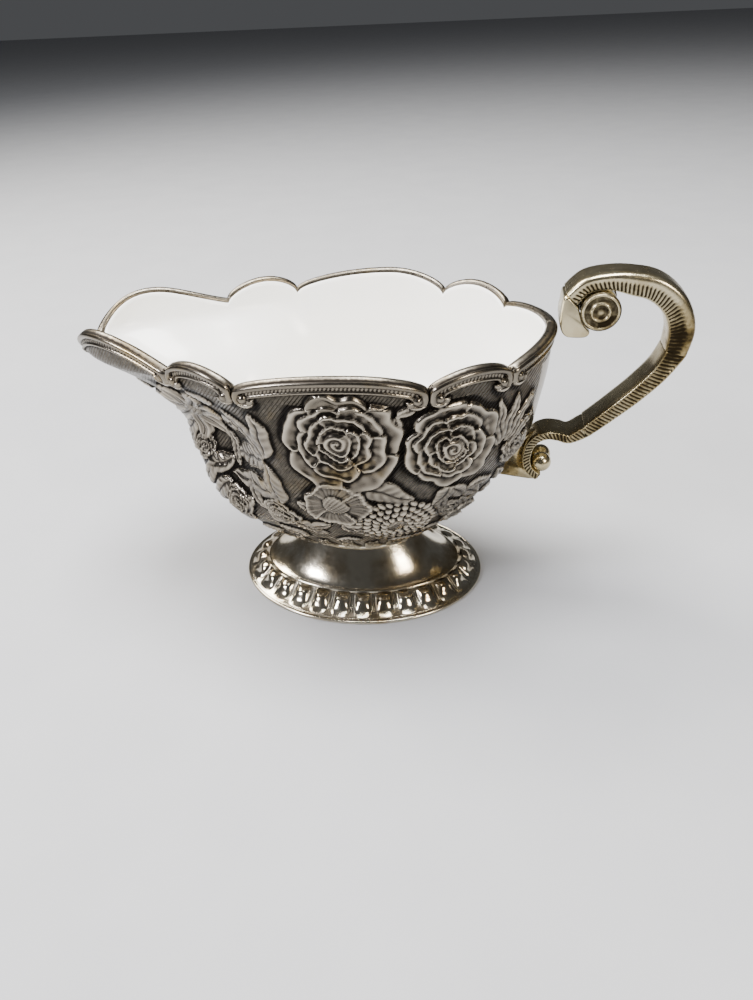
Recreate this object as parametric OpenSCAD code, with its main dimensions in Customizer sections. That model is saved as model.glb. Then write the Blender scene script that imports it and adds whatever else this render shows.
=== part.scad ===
// Cream jug with a boat-shaped bowl, a scrolled rim, an oval foot and a scroll handle.
// Cast silver-plated metal with a white enamel lining. Units are millimetres, +Z is up.
// The origin is the middle of the jug's length, on the table. The spout points to -X, the handle to +X.

/* [Bowl] */
// Height of the bowl wall, from the top of the foot to the underside of the rim scrolls
bowl_h = 47; // [38:0.5:58]
// Reach of the belly from the axis towards the spout
belly_front = 38.5; // [31:0.5:47]
// Reach of the belly from the axis towards the handle
belly_rear = 39.5; // [32:0.5:48]
// Half width of the belly across the jug
belly_half_w = 27.3; // [22:0.5:33]
// How far the spout runs out past the belly
spout_reach = 20; // [14:0.5:26]
// Thickness of the cast metal wall
wall_t = 1.4; // [1:0.1:2.2]
// Thickness of the enamel lining
lining_t = 0.5; // [0.3:0.1:1]

/* [Rim scrolls] */
// How far the scrolls stand proud of the wall
rim_proud = 0.9; // [0.4:0.1:1.4]
// Height of the notches between scrolls above the wall
notch_h = 2.4; // [1.5:0.1:4]
// Height of the rim at the tip of the spout above the wall there
tip_h = 1.6; // [1:0.1:3]
// Drop of the wall from the bowl to the tip of the spout
spout_drop = 1.2; // [0:0.1:4]
// Rise of each scroll above the notches beside it, from spout to handle
scroll_rise = [5.2, 3.4, 4.0, 3.2, 2.6];

/* [Foot] */
// Height of the foot
foot_h = 13.5; // [10:0.5:17]
// Half length of the foot, along the jug
foot_a = 30; // [25:0.5:36]
// Half width of the foot, across the jug
foot_b = 22.5; // [19:0.5:27]
// Half length of the neck
neck_a = 14.5; // [12:0.5:17]
// Half width of the neck
neck_b = 10; // [8:0.5:12]
// Thickness of the flat flange that stands on the table
flange_t = 0.8; // [0.6:0.1:1.5]
// Height of the neck collar
collar_h = 1.2; // [0.8:0.1:2]
// Thickness of the cast foot
foot_t = 1.4; // [1:0.1:2]
// Number of gadroon lobes round the foot
lobes = 28; // [20:1:36]
// How far a lobe swells out
lobe_swell = 1.1; // [0.5:0.1:1.5]

/* [Handle] */
// Width of the handle across the jug
handle_w = 7.4; // [6:0.1:9]
// Radius of the volute roundels at the top of the handle
volute_r = 3.9; // [3.4:0.1:4.5]
// How far a volute roundel stands out from the side of the handle
volute_proud = 0.8; // [0.4:0.1:1.2]
// Radius of the ball at the end of the lower curl
ball_r = 2.2; // [1.6:0.1:2.4]
// Thickness of the web between the lower curl and the bowl
web_t = 3; // [2:0.1:5]

/* [Hidden] */

silver = "#b9b4a8";
dark_silver = "#8d8880";
gilt = "#b3a57f";
enamel = "#f4f4ee";

// Angles round the bowl, from the spout tip at 0 to the handle at 180, at which the scrolls meet.
notches = [0, 54, 70, 113, 141, 180];
// Columns of the bowl's grid along each scroll.
scroll_steps = [12, 5, 11, 8, 8];
// Rows of the bowl's grid from neck to rim; the rows crowd together at the curved bottom.
wall_rows = 11;
row_crowding = 1.5;
// Rows of a rim scroll, as shares of its height, and how proud its outer face stands at each.
scroll_rows = [0, 0.4, 0.8, 1];
scroll_profile = [0.7, 0.5, 1, 0.35];

// Shape of the bowl: levels run from 0 at the neck to 1 at the rim scrolls.
belly_level = 0.65;      // level at which the belly is full
spout_level = 0.6;       // level at which the spout starts to run out
spout_curve = 1.9;
centre_shift = 4;        // how far the widest place moves towards the handle at the rim
rear_flare = 2.6;
rear_taper = 1.12;       // above 1 the oval is sharper, below 1 it is blunter
front_taper = 0.87;
rim_flare = 3.6;
rim_flare_level = 0.8;
prow_pinch = 0.25;       // narrowing of the wall towards the spout
prow_taper = 0.9;        // extra narrowing low on the prow

// ---- Numbers and curves -------------------------------------------------------------------

function share(x, a, b) = min(1, max(0, (x - a) / (b - a)));
function smooth(x, a, b) = let (t = share(x, a, b)) t * t * (3 - 2 * t);
function swell(t, n, m) = pow(1 - pow(1 - share(t, 0, 1), n), 1 / m);
function unit(v) = v / norm(v);

function level(z) = (z - foot_h) / bowl_h;
function front_reach(l) =
    neck_a + (belly_front - neck_a) * swell(l / belly_level, 2, 1.5)
    + spout_reach * pow(share(l, spout_level, 1), spout_curve);
function rear_reach(l) =
    neck_a + (belly_rear - neck_a) * swell(l / belly_level, 1.3, 1.15)
    + rear_flare * smooth(l, 0.55, 1);
function half_width(l) =
    neck_b + (belly_half_w - neck_b) * swell(l / belly_level, 1.6, 1.15)
    + rim_flare * pow(max(0, l - rim_flare_level) / 0.35, 1.5);
function pinch(l, c) =
    (prow_pinch + prow_taper * max(0, 1 - l)) * smooth(c, 0.3, 0.75) * smooth(l, 0.25, 0.7);

// Outer face of the bowl at angle p and height z: an oval with a spout, wider towards the rim.
function wall_point(p, z) =
    let (l = level(z), c = cos(p), s = sin(p), x0 = centre_shift * l)
    [c > 0 ? x0 - (front_reach(l) + x0) * c : x0 - (rear_reach(l) - x0) * c,
     -sign(s) * half_width(l) * pow(abs(s), c < 0 ? rear_taper : front_taper) * (1 - pinch(l, c)),
     z];
function wall_normal(p, z) =
    unit(cross(wall_point(p + 1, z) - wall_point(p - 1, z), wall_point(p, z + 0.3) - wall_point(p, z - 0.3)));
function off_wall(p, z, d) = wall_point(p, z) + d * wall_normal(p, z);

// Height of the wall's top edge, and of the scalloped crest above it. q is the angle from the tip.
function from_tip(p) = p <= 180 ? p : 360 - p;
function wall_top(p) = foot_h + bowl_h - spout_drop * (1 - smooth(from_tip(p), 0, 50));
function scroll_at(q) = q >= notches[4] ? 4 : q >= notches[3] ? 3 : q >= notches[2] ? 2 : q >= notches[1] ? 1 : 0;
function base_rise(q) = tip_h + (notch_h - tip_h) * smooth(q, 0, 40);
function arch(q) =
    let (i = scroll_at(q), u = (q - notches[i]) / (notches[i + 1] - notches[i]))
    i == 0 ? pow(sin(180 * pow(u, 1.15)), 1.1) : i == 4 ? sqrt(sin(90 * u)) : pow(abs(sin(180 * u)), 0.6);
function crest(p) =
    let (q = from_tip(p)) wall_top(p) + base_rise(q) + scroll_rise[scroll_at(q)] * max(0, arch(q));

function columns(i) =
    [for (k = [0:scroll_steps[i]]) notches[i] + (notches[i + 1] - notches[i]) * k / scroll_steps[i]];
half_columns = [0, for (i = [0:4]) for (k = [1:scroll_steps[i]]) columns(i)[k]];
all_columns = concat(half_columns, [for (i = [len(half_columns) - 2:-1:1]) 360 - half_columns[i]]);

function row_height(p, j) = foot_h + (wall_top(p) - foot_h) * pow(j / wall_rows, row_crowding);
function scroll_height(p, k) = wall_top(p) + (crest(p) - wall_top(p)) * k;
function flattened(v, z) = [v[0], v[1], z];

// A row of the wall at depth d inside its outer face; the lowest row is the edge of a flat floor.
function wall_row(cols, j, d) =
    [for (p = cols) let (v = off_wall(p, row_height(p, j), -d)) j == 0 ? flattened(v, foot_h + d) : v];
function crest_row(cols, k, d) = [for (p = cols) off_wall(p, scroll_height(p, k), -d)];

// ---- Solids from grids --------------------------------------------------------------------

function flat(rows) = [for (r = rows) for (v = r) v];

// A bowl between an outer and an inner grid of rows, with flat floors at row 0.
module bowl_shell(outer, inner, closed) {
    n = len(outer[0]);
    m = len(outer);
    last = closed ? n - 1 : n - 2;
    function o(j, i) = j * n + i % n;
    function q(j, i) = m * n + j * n + i % n;
    faces = concat(
        [for (j = [0:m - 2], i = [0:last]) each [[o(j, i), o(j + 1, i), o(j + 1, i + 1)],
                                                 [o(j, i), o(j + 1, i + 1), o(j, i + 1)]]],
        [for (j = [0:m - 2], i = [0:last]) each [[q(j, i), q(j + 1, i + 1), q(j + 1, i)],
                                                 [q(j, i), q(j, i + 1), q(j + 1, i + 1)]]],
        [for (i = [0:last]) each [[o(m - 1, i), q(m - 1, i), q(m - 1, i + 1)],
                                  [o(m - 1, i), q(m - 1, i + 1), o(m - 1, i + 1)]]],
        [[for (i = [0:n - 1]) o(0, i)], [for (i = [n - 1:-1:0]) q(0, i)]],
        closed ? [] : [[o(0, 0), o(0, n - 1), q(0, n - 1), q(0, 0)]],
        closed ? [] : [for (j = [0:m - 2]) each [[o(j, 0), q(j, 0), q(j + 1, 0)],
                                                 [o(j, 0), q(j + 1, 0), o(j + 1, 0)],
                                                 [o(j, n - 1), q(j + 1, n - 1), q(j, n - 1)],
                                                 [o(j, n - 1), o(j + 1, n - 1), q(j + 1, n - 1)]]]);
    polyhedron(concat(flat(outer), flat(inner)), faces, convexity = 6);
}

// A solid carried through a list of matching section loops. A ring joins its last loop to its first.
module carried(loops, ring = false) {
    n = len(loops[0]);
    m = len(loops);
    last = ring ? m - 1 : m - 2;
    function v(i, k) = (i % m) * n + k % n;
    sides = [for (i = [0:last], k = [0:n - 1]) each [[v(i, k), v(i + 1, k), v(i + 1, k + 1)],
                                                     [v(i, k), v(i + 1, k + 1), v(i, k + 1)]]];
    start = [for (k = [1:n - 2]) [v(0, 0), v(0, k), v(0, k + 1)]];
    end = [for (k = [1:n - 2]) [v(m - 1, 0), v(m - 1, k + 1), v(m - 1, k)]];
    polyhedron(flat(loops), ring ? sides : concat(sides, start, end), convexity = 6);
}

// ---- Bowl ---------------------------------------------------------------------------------

module body_half() {
    bowl_shell([for (j = [0:wall_rows]) wall_row(half_columns, j, 0)],
               [for (j = [0:wall_rows]) wall_row(half_columns, j, wall_t)], false);
}

module near_body_half() {
    color(dark_silver) body_half();
}

module far_body_half() {
    color(dark_silver) mirror([0, 1, 0]) body_half();
}

function lining_face(d) = concat(
    [for (j = [0:wall_rows]) wall_row(all_columns, j, d)],
    [for (k = [1:len(scroll_rows) - 1]) crest_row(all_columns, scroll_rows[k], d)]);

module enamel_lining() {
    color(enamel) bowl_shell(lining_face(wall_t), lining_face(wall_t + lining_t), true);
}

// ---- Rim scrolls --------------------------------------------------------------------------

function scroll_section(p) = concat(
    [for (k = [0:len(scroll_rows) - 1])
        off_wall(p, scroll_height(p, scroll_rows[k]), rim_proud * scroll_profile[k])],
    [for (k = [len(scroll_rows) - 1:-1:0]) off_wall(p, scroll_height(p, scroll_rows[k]), -wall_t)]);

module rim_scroll(i) {
    carried([for (p = columns(i)) scroll_section(p)]);
}

module near_scroll(i) {
    color(silver) rim_scroll(i);
}

module far_scroll(i) {
    color(silver) mirror([0, 1, 0]) rim_scroll(i);
}

// ---- Foot ---------------------------------------------------------------------------------

oval_steps = 72;
lobe_steps = 8;
shoulder_a = foot_a - 5.1;
shoulder_b = foot_b - 6.8;
shoulder_z = 3.9;
flange_in = 4.4;         // width of the flat flange

function oval(a, b) = [for (i = [0:oval_steps - 1]) [a * cos(360 * i / oval_steps), b * sin(360 * i / oval_steps)]];

// An oval ring: each entry of the section is [half length, half width, height].
function oval_loop(section, q) = [for (e = section) [e[0] * cos(q), e[1] * sin(q), e[2]]];

// Sweep of the dome from its shoulder up to the collar: 0 at the shoulder, 1 at the collar.
dome_steps = 8;
dome_top = foot_h - collar_h;
function dome_entry(t, d) =
    let (w = 1 - pow(t, 0.62))
    [neck_a - 0.6 - d + (shoulder_a - neck_a + 0.6) * w, neck_b - 0.6 - d + (shoulder_b - neck_b + 0.6) * w,
     shoulder_z + (dome_top - shoulder_z) * t - (t == 1 || t == 0 ? 0 : d * 0.7)];
dome_section = concat([for (i = [0:dome_steps]) dome_entry(i / dome_steps, 0)],
                      [for (i = [dome_steps:-1:0]) dome_entry(i / dome_steps, foot_t)]);

module foot_dome() {
    color(silver) carried([for (i = [0:oval_steps - 1]) oval_loop(dome_section, 360 * i / oval_steps)], ring = true);
}

module foot_collar() {
    color(silver) translate([0, 0, dome_top]) linear_extrude(collar_h) polygon(oval(neck_a, neck_b));
}

module foot_base_flange() {
    color(silver) linear_extrude(flange_t) difference() {
        polygon(oval(foot_a, foot_b));
        polygon(oval(foot_a - flange_in, foot_b - flange_in));
    }
}

// Phase of the lobes at angle q, so that they are equally long round the oval.
function lobe_phase(q) =
    let (mean = foot_a + foot_b - 2 * flange_in / 2, spread = (foot_a - foot_b) / 2)
    lobes * (q - spread / mean * 180 / PI * sin(2 * q));
function lobe(q) = lobe_swell * pow(abs(sin(lobe_phase(q) / 2)), 0.7);
function border_loop(q) =
    let (g = lobe(q), o = foot_a - 1, w = foot_b - 1, rise = shoulder_z - flange_t)
    oval_loop([[o, w, flange_t],
               [o - 0.7 + 0.2 * g, w - 0.7 + 0.2 * g, flange_t + 0.2 * rise + 0.3 * g],
               [o - 2.2 + 0.2 * g, w - 2.5 + 0.2 * g, flange_t + 0.35 * rise + 0.9 * g],
               [o - 3.4, w - 4.4, flange_t + 0.65 * rise + 0.7 * g],
               [shoulder_a + 0.3, shoulder_b + 0.5, shoulder_z],
               [shoulder_a, shoulder_b, shoulder_z],
               [shoulder_a - foot_t, shoulder_b - foot_t, shoulder_z],
               [foot_a - flange_in + 0.4, foot_b - flange_in + 0.2, flange_t]], q);

module foot_gadroon_border() {
    color(silver)
        carried([for (i = [0:lobes * lobe_steps - 1]) border_loop(360 * i / (lobes * lobe_steps))], ring = true);
}

// ---- Handle -------------------------------------------------------------------------------

// The handle's places hang on the rear of the rim, so it follows the bowl.
socket_x = rear_reach(1) + rim_proud + 0.05;
rim_z = foot_h + bowl_h;

// Heights below the rim stretch with the bowl, so the lower end meets the wall at the same level.
drop = bowl_h / 47;
function hung(pts) = [for (p = pts) [p[0], p[1] < 0 ? p[1] * drop : p[1], p[2]]];

// Centre line of the handle as [past the rim's rear, above the wall's top, thickness].
arch_line = [[1.9, 11, 3.4], [4.6, 13.6, 3.3], [8.9, 14.4, 3.6], [13.1, 13.9, 4.6], [17.7, 12.7, 5],
             [21.5, 9.5, 5.2], [23.4, 4.9, 5.2], [23.1, 0.1, 4.6]];
arm_line = hung([[23.1, 0.1, 4.6], [20.8, -4.3, 3.9], [17.1, -8.9, 3.6], [12.5, -13.6, 3.3], [7.5, -18.3, 3]]);
curl_line = hung([[7.5, -18.3, 3], [4.5, -20, 2.2], [2.2, -19.5, 2.1], [-0.1, -19.3, 2], [-2.1, -20.1, 2],
             [-3.5, -21.8, 2], [-4.1, -23.9, 2], [-4.2, -25.9, 2], [-3.5, -28.1, 2], [-1.5, -29.9, 2]]);
volute_centre = [7.5, 8.75];
ball_centre = [-0.9, -26.7 * drop];
line_steps = 4;
section_points = 16;
section_power = 0.55;    // 1 is an oval section, less is squarer

// A smooth line through the points: each stretch blends its own two points and their neighbours.
function spline(a, b, c, d, t) =
    0.5 * (2 * b + (c - a) * t + (2 * a - 5 * b + 4 * c - d) * t * t + (3 * b - a - 3 * c + d) * t * t * t);
function smooth_line(pts) =
    let (n = len(pts))
    [for (i = [0:n - 2]) for (k = [0:line_steps - 1])
        spline(pts[max(0, i - 1)], pts[i], pts[i + 1], pts[min(n - 1, i + 2)], k / line_steps),
     pts[n - 1]];

// Across the line at each place. The ends of two pieces that meet get the same given direction.
function along(line, i, first, last) =
    i == 0 && !is_undef(first) ? first
    : i == len(line) - 1 && !is_undef(last) ? last
    : let (a = line[max(0, i - 1)], b = line[min(len(line) - 1, i + 1)]) unit([b[0] - a[0], b[1] - a[1]]);
function edge(line, i, side, first, last) =
    let (d = along(line, i, first, last), r = side * line[i][2] / 2)
    [socket_x + line[i][0] - d[1] * r, rim_z + line[i][1] + d[0] * r];
function rounded(a) = sign(a) * pow(abs(a), section_power);
function ribbon_loops(line, first, last) =
    [for (i = [0:len(line) - 1])
        let (e = edge(line, i, 1, first, last), f = edge(line, i, -1, first, last))
        [for (k = [0:section_points - 1])
            let (q = 360 * k / section_points, u = 0.5 + 0.5 * rounded(cos(q)))
            [f[0] + (e[0] - f[0]) * u, handle_w / 2 * rounded(sin(q)), f[1] + (e[1] - f[1]) * u]]];

arch_end = unit([-1.2, -4.8]);
corner_way = unit([-1, -0.15]);

module handle_upper_scroll() {
    color(gilt) carried(ribbon_loops(smooth_line(arch_line), undef, arch_end));
}

module handle_lower_arm() {
    color(gilt) carried(ribbon_loops(smooth_line(arm_line), arch_end, corner_way));
}

module handle_lower_curl() {
    color(gilt) carried(ribbon_loops(smooth_line(curl_line), corner_way, undef));
}

// A flat piece of the given thickness, drawn on the jug's middle plane.
module upright(thickness) {
    rotate([90, 0, 0]) linear_extrude(thickness, center = true) children();
}

module handle_socket() {
    line = smooth_line(arch_line);
    inner = edge(line, 0, -1);
    outer = edge(line, 0, 1);
    foot_of_socket = rim_z + 3.2;
    color(gilt) upright(handle_w * 0.9) polygon([
        [socket_x, foot_of_socket], [socket_x + 4.6, foot_of_socket - 0.3], [socket_x + 5.8, foot_of_socket + 0.1],
        [socket_x + 6.2, foot_of_socket + 0.9], [socket_x + 5.6, foot_of_socket + 1.7],
        [socket_x + 4.3, foot_of_socket + 3.1], [socket_x + 3.7, foot_of_socket + 5.2],
        inner, outer, [socket_x, rim_z + 10.8]]);
}

// The web fills the space between the bowl's rear edge and the outside of the lower curl.
web_top = -20.6 * drop;
web_bottom = -30.6 * drop;
web_rows = 6;
keel_gap = 0.05;
module handle_web() {
    line = smooth_line(curl_line);
    curl_start = 4 * line_steps;
    keel = [for (k = [0:web_rows])
        let (z = rim_z + web_bottom + (web_top - web_bottom) * k / web_rows)
        [rear_reach(level(z)) + keel_gap, z]];
    curl = [for (i = [curl_start:len(line) - 1]) edge(line, i, -1)];
    tail = [[socket_x - 0.6, rim_z - 31.6 * drop], [socket_x - 2.6, rim_z - 31.9 * drop],
            [socket_x - 5, rim_z - 31.6 * drop]];
    color(gilt) upright(web_t) polygon(concat(keel, curl, tail));
}

module at_place(place) {
    translate([socket_x + place[0], 0, rim_z + place[1]]) rotate([90, 0, 0]) children();
}

module volute_core() {
    color(gilt) at_place(volute_centre) cylinder(h = handle_w, r = volute_r - 0.3, center = true, $fn = 48);
}

// A turned roundel: a rim ring, a groove, and a boss with a dimple.
module roundel() {
    r = volute_r;
    p = volute_proud;
    rotate_extrude($fn = 64) polygon([[0, 0], [r, 0], [r, 0.5 * p], [0.93 * r, 0.8 * p], [0.8 * r, 0.8 * p],
        [0.74 * r, 0.35 * p], [0.58 * r, 0.35 * p], [0.52 * r, 0.8 * p], [0.36 * r, p], [0.26 * r, 0.6 * p],
        [0, 0.75 * p]]);
}

module near_volute_roundel() {
    color(silver) at_place(volute_centre) translate([0, 0, handle_w / 2]) roundel();
}

module far_volute_roundel() {
    color(silver) at_place(volute_centre) mirror([0, 0, 1]) translate([0, 0, handle_w / 2]) roundel();
}

module curl_ball() {
    color(gilt) at_place(ball_centre) {
        cylinder(h = handle_w - 2 * ball_r, r = 0.8 * ball_r, center = true, $fn = 48);
        for (side = [-1, 1])
            translate([0, 0, side * (handle_w / 2 - ball_r + 0.2)]) sphere(r = ball_r, $fn = 48);
    }
}

// The foot's centre is moved off the origin by this much, so that the origin is mid-length.
handle_reach = max([for (p = arch_line) p[0] + p[2] / 2]);
frame_shift = (socket_x + handle_reach - front_reach(1) - 0.8 * rim_proud) / 2;

translate([-frame_shift, 0, 0]) {
    near_body_half();
    far_body_half();
    enamel_lining();
    near_scroll(0);  // near_spout_scroll
    near_scroll(1);  // near_shoulder_scroll
    near_scroll(2);  // near_long_scroll
    near_scroll(3);  // near_rear_scroll
    near_scroll(4);  // near_handle_scroll
    far_scroll(0);  // far_spout_scroll
    far_scroll(1);  // far_shoulder_scroll
    far_scroll(2);  // far_long_scroll
    far_scroll(3);  // far_rear_scroll
    far_scroll(4);  // far_handle_scroll
    foot_collar();
    foot_dome();
    foot_gadroon_border();
    foot_base_flange();
    handle_socket();
    handle_upper_scroll();
    handle_lower_arm();
    handle_lower_curl();
    handle_web();
    volute_core();
    near_volute_roundel();
    far_volute_roundel();
    curl_ball();
}
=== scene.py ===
"""Cream jug in silver plate over cast metal, with a white enamel lining.

Lengths are worked out in millimetres in the part's own frame and turned to metres when a mesh
is made. +X runs from the spout to the handle, -Y is the near side, +Z is up.
"""
import math

import bpy
import numpy as np
from mathutils import Matrix, Vector


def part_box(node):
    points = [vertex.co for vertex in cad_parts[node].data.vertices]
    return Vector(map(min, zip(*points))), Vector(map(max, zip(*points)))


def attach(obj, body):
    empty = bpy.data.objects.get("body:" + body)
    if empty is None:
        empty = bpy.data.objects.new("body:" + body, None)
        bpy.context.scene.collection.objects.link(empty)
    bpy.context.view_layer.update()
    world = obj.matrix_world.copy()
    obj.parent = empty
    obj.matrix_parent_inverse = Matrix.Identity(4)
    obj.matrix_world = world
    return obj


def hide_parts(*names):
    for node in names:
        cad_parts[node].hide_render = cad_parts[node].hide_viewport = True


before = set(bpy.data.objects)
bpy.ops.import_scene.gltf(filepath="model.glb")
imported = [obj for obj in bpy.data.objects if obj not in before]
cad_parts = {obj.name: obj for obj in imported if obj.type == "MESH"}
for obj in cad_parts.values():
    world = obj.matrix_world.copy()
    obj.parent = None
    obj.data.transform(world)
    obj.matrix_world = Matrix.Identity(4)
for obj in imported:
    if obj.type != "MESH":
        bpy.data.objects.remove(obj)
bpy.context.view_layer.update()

MM = 0.001
BODY = "root"


# All shapes below are worked out from the middle of the foot, which stands a little off the origin.
FOOT_MIDDLE = np.array([sum(corner[0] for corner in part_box("foot_base_flange")) / 2, 0, 0]) / MM


def node_box(name):
    """A node's lowest and highest corners in millimetres from the middle of the foot."""
    low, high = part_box(name)
    return np.array(low) / MM - FOOT_MIDDLE, np.array(high) / MM - FOOT_MIDDLE


# ---- Sizes taken from the frame, and the bowl's shape --------------------------------------

COLLAR_LOW, COLLAR_HIGH = node_box("foot_collar")
FLANGE_LOW, FLANGE_HIGH = node_box("foot_base_flange")
DOME_LOW, DOME_HIGH = node_box("foot_dome")
WALL_TOP = node_box("near_rear_scroll")[0][2]
FOOT_H = COLLAR_HIGH[2]
BOWL_H = WALL_TOP - FOOT_H
NECK_A, NECK_B = COLLAR_HIGH[0], COLLAR_HIGH[1]
FOOT_A, FOOT_B = FLANGE_HIGH[0], FLANGE_HIGH[1]
SHOULDER_A, SHOULDER_B = DOME_HIGH[0], DOME_HIGH[1]
SHOULDER_Z = DOME_LOW[2]
FLANGE_T = FLANGE_HIGH[2]
HANDLE_W = node_box("handle_lower_arm")[1][1] * 2

WALL_T = 1.4
LINING_T = 0.5
HATCH_GAP = 0.616
BELLY_FRONT, BELLY_REAR, BELLY_HALF_W = 38.5, 39.5, 27.3
SPOUT_REACH = 20.0
FLARE_TURN = 0.08
NOTCH_H, TIP_H, SPOUT_DROP = 2.4, 1.6, 1.2
SCROLL_RISE = (5.2, 3.4, 4.0, 3.2, 2.6)
NOTCHES = (0.0, 54.0, 70.0, 113.0, 141.0, 180.0)
SCROLL_NAMES = ("spout", "shoulder", "long", "rear", "handle")


def share(x, a, b):
    """How far x is from a to b, from 0 to 1."""
    return np.clip((x - a) / (b - a), 0, 1)


def smooth(x, a, b):
    """The share eased at both ends: 3t^2 - 2t^3."""
    t = share(x, a, b)
    return t * t * (3 - 2 * t)


def swell(t, n, m):
    """A curve that rises from 0 to 1 and levels off: (1 - (1 - t)^n)^(1/m)."""
    return (1 - (1 - share(t, 0, 1)) ** n) ** (1 / m)


def run_along(line):
    """How far each point of a line lies along it."""
    return np.concatenate([[0], np.cumsum(np.linalg.norm(np.diff(line, axis=0), axis=1))])


def bowl_wall(phi, z):
    """Outer face of the near half at phi degrees from the spout tip and height z.

    Each level is an oval with its own reach to the spout, to the handle and across; the spout
    end is pinched in by a share of its width.
    """
    level = (z - FOOT_H) / BOWL_H
    c, s = np.cos(np.radians(phi)), np.abs(np.sin(np.radians(phi)))
    centre = 4 * level
    # The spout's flare stops at the top of the wall; the turn is rounded over a few millimetres.
    flare = np.maximum(0, (level - 0.6) / 0.4)
    turn = np.clip(flare - (1 - FLARE_TURN), 0, 2 * FLARE_TURN)
    flare = np.minimum(flare, 1 + FLARE_TURN) - turn ** 2 / (4 * FLARE_TURN)
    front = NECK_A + (BELLY_FRONT - NECK_A) * swell(level / 0.65, 2, 1.5) + SPOUT_REACH * flare ** 1.9
    rear = (NECK_A + (BELLY_REAR - NECK_A) * swell(level / 0.65, 1.3, 1.15)
            + 2.6 * smooth(level, 0.55, 1))
    half = (NECK_B + (BELLY_HALF_W - NECK_B) * swell(level / 0.65, 1.6, 1.15)
            + 3.6 * (np.maximum(0, level - 0.8) / 0.35) ** 1.5)
    pinch = (0.25 + 0.9 * np.maximum(0, 1 - level)) * smooth(c, 0.3, 0.75) * smooth(level, 0.25, 0.7)
    x = np.where(c > 0, centre - (front + centre) * c, centre - (rear - centre) * c)
    y = -half * s ** np.where(c < 0, 1.12, 0.87) * (1 - pinch)
    return np.stack([x, y, z + 0 * x], -1)


def wall_normal(phi, z):
    """Unit normal of the bowl's outer face, from small steps round and up."""
    round_step = bowl_wall(phi + 0.5, z) - bowl_wall(phi - 0.5, z)
    # Past the middle plane the oval turns back, so its y changes sign there.
    before, after = phi - 0.5 < 0, phi + 0.5 > 180
    round_step[..., 1] = np.where(before, 2 * bowl_wall(phi + 0.5, z)[..., 1], round_step[..., 1])
    round_step[..., 1] = np.where(after, -2 * bowl_wall(phi - 0.5, z)[..., 1], round_step[..., 1])
    up_step = bowl_wall(phi, z + 0.25) - bowl_wall(phi, z - 0.25)
    n = np.cross(round_step, up_step)
    return n / np.linalg.norm(n, axis=-1, keepdims=True)


def off_wall(phi, z, depth):
    """The wall pushed out along its normal by depth."""
    return bowl_wall(phi, z) + wall_normal(phi, z) * np.asarray(depth)[..., None]


def behind_wall(phi, z, depth):
    """The wall moved inward by depth, level with itself where it flares, so that it never folds."""
    n = wall_normal(phi, z)
    n[..., 2] *= 1 - smooth((z - FOOT_H) / BOWL_H, 0.7, 0.92)
    n = n / np.linalg.norm(n, axis=-1, keepdims=True)
    return bowl_wall(phi, z) - n * np.asarray(depth)[..., None]


def wall_top(phi):
    """Height where the wall ends and the rim scrolls begin; it drops a little to the spout."""
    return WALL_TOP - SPOUT_DROP * (1 - smooth(phi, 0, 50))


def scroll_of(phi):
    """Which of the five scrolls a place belongs to, from spout to handle."""
    return np.clip(np.searchsorted(NOTCHES, phi, side="right") - 1, 0, 4)


def crest(phi, scroll=None):
    """Height of the scalloped rim: notch height plus an arch over each scroll."""
    i = scroll_of(phi) if scroll is None else np.full(np.shape(phi), scroll)
    a, b = np.array(NOTCHES)[i], np.array(NOTCHES)[i + 1]
    u = np.clip((phi - a) / (b - a), 0, 1)
    middle = np.abs(np.sin(np.pi * u)) ** 0.6
    first = np.maximum(0, np.sin(np.pi * u ** 1.15)) ** 1.1
    last = np.sqrt(np.sin(np.pi / 2 * u))
    arch = np.where(i == 0, first, np.where(i == 4, last, middle))
    notch = TIP_H + (NOTCH_H - TIP_H) * smooth(phi, 0, 40) - 0.9 * (1 - smooth(phi, 0, 26))
    return wall_top(phi) + notch + np.array(SCROLL_RISE)[i] * arch


# ---- Chased relief: heights above the wall, in millimetres ---------------------------------

def local(points, phi, z):
    """Distances across and up from the place (phi, z), in the wall's plane there."""
    centre = bowl_wall(np.array([phi]), np.array([z]))[0]
    n = wall_normal(np.array([phi]), np.array([z]))[0]
    across = np.cross([0, 0, 1.0], n)
    across = across / np.linalg.norm(across)
    up = np.cross(n, across)
    d = points - centre
    return d @ across, d @ up, np.abs(d @ n)


def dome(d, r):
    """A round-topped bump of radius r: the square root of 1 - (d/r)^2."""
    return np.sqrt(np.maximum(0, 1 - (d / r) ** 2))


def petal_ring(a, b, radius, count, turn, height, cup):
    """A ring of petals, each a cupped dish with a rolled lip and a dented edge, lapping over the next.

    An angle gives the petal and the place f across it. The edge's radius varies from petal to
    petal, the dish rises towards its lip, and its height falls along f so that one side lies
    under the neighbour.
    """
    r = np.hypot(a, b)
    place = (np.arctan2(b, a) / (2 * np.pi) + turn) * count
    petal = np.mod(np.floor(place), count)
    f = place - np.floor(place)
    odd = np.sin(5.1 * petal + 9 * turn)
    dent = 0.07 * np.exp(-((f - 0.5 - 0.12 * odd) / 0.13) ** 2)
    rim = radius * (0.84 + 0.13 * np.abs(np.sin(np.pi * f)) ** 0.5 - dent + 0.07 * odd)
    u = r / rim
    dish = 1 - cup + cup * share(u, 0.3, 0.95) ** 2
    lip = 0.2 * np.exp(-((u - 0.91) / 0.06) ** 2)
    rolled_side = 0.14 * np.exp(-(((1 - f) * 2 * np.pi * r / count) / 0.5) ** 2)
    folds = 0.045 * np.cos(2 * np.pi * (4.5 * f + 0.3 * odd)) * share(u, 0.35, 0.9)
    lap = 0.7 + 0.3 * f ** 0.8
    return height * (dish * lap + lip + rolled_side + folds) * smooth(1 - u, -0.02, 0.06)


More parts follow.
